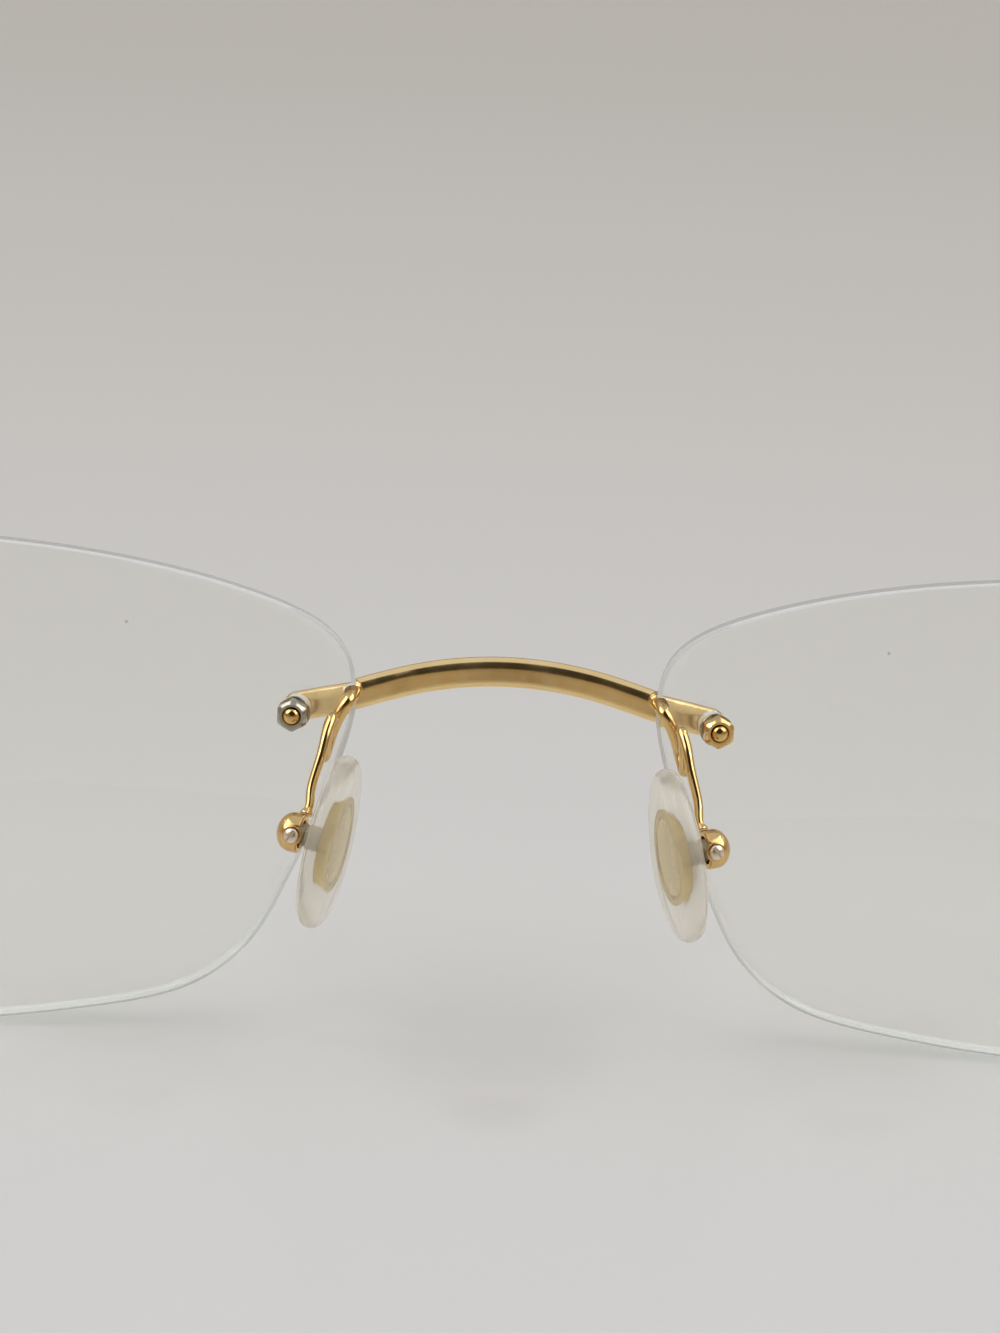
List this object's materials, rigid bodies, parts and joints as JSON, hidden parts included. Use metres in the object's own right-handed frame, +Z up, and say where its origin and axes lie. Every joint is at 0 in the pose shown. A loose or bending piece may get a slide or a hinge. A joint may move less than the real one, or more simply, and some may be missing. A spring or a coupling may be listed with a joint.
{
  "type": "rimless glasses",
  "caption": "Rimless glasses with clear oval lenses drilled at nose and temple, a thin polished gold bar bridge, gooseneck nose pad arms and slim folding temples.",
  "frame": {"origin": "centre of the bounding box at the table's height, with the temples open and the glasses standing on the lower lens edges and the temple tips", "axes": "+Z up, the front of the glasses faces -Y, the temples run back along +Y, and the wearer's left is +X"},
  "size_m": [0.135, 0.1478, 0.0308],
  "materials": {
    "gold": "polished gold plate",
    "washer": "bright steel",
    "lens": "clear optical plastic",
    "pad": "clear soft silicone",
    "clear_plastic": "clear moulded plastic",
    "tip": "polished brown acetate"
  },
  "bodies": {
    "front": {"bridge": "gold", "lens_left": "lens", "lens_right": "lens", "nasal_screw_left": "gold", "nasal_screw_right": "gold", "nasal_bush_left": "clear_plastic", "nasal_bush_right": "clear_plastic", "nasal_washer_left": "washer", "nasal_washer_right": "washer", "nasal_nut_left": "washer", "nasal_nut_right": "gold", "temporal_screw_left": "gold", "temporal_screw_right": "gold", "temporal_bush_left": "clear_plastic", "temporal_bush_right": "clear_plastic", "temporal_washer_left": "washer", "temporal_washer_right": "washer", "temporal_nut_left": "gold", "temporal_nut_right": "gold", "pad_arm_left": "gold", "pad_arm_right": "gold", "pad_box_left": "gold", "pad_box_right": "gold", "pad_screw_left": "washer", "pad_screw_right": "washer", "endpiece_left": "gold", "endpiece_right": "gold", "hinge_front_left": "gold", "hinge_front_right": "gold", "hinge_screw_left": "gold", "hinge_screw_right": "gold"},
    "temple_arm_left": {"hinge_rear_left": "gold", "temple_left": "gold", "temple_tip_left": "tip"},
    "temple_arm_right": {"hinge_rear_right": "gold", "temple_right": "gold", "temple_tip_right": "tip"},
    "nose_pad_left": {"pad_left": "pad", "pad_core_left": "gold", "pad_stem_left": "clear_plastic"},
    "nose_pad_right": {"pad_right": "pad", "pad_core_right": "gold", "pad_stem_right": "clear_plastic"}
  },
  "joints": [
    {"name": "temple_left_fold", "type": "hinge", "parent": "front", "child": "temple_arm_left", "pos_m": [0.06473, -0.0573, 0.02224], "axis": [0, -0.0525, 0.9986], "range_deg": [0, 90]},
    {"name": "temple_right_fold", "type": "hinge", "parent": "front", "child": "temple_arm_right", "pos_m": [-0.06473, -0.0573, 0.02224], "axis": [0, 0.0525, -0.9986], "range_deg": [0, 86]},
    {"name": "pad_left_tilt", "type": "hinge", "parent": "front", "child": "nose_pad_left", "pos_m": [0.0126, -0.06129, 0.01531], "axis": [0.2545, 0.943, 0.2143], "range_deg": [-10, 10]},
    {"name": "pad_right_tilt", "type": "hinge", "parent": "front", "child": "nose_pad_right", "pos_m": [-0.0126, -0.06129, 0.01531], "axis": [0.2545, -0.943, -0.2143], "range_deg": [-10, 10]}
  ]
}
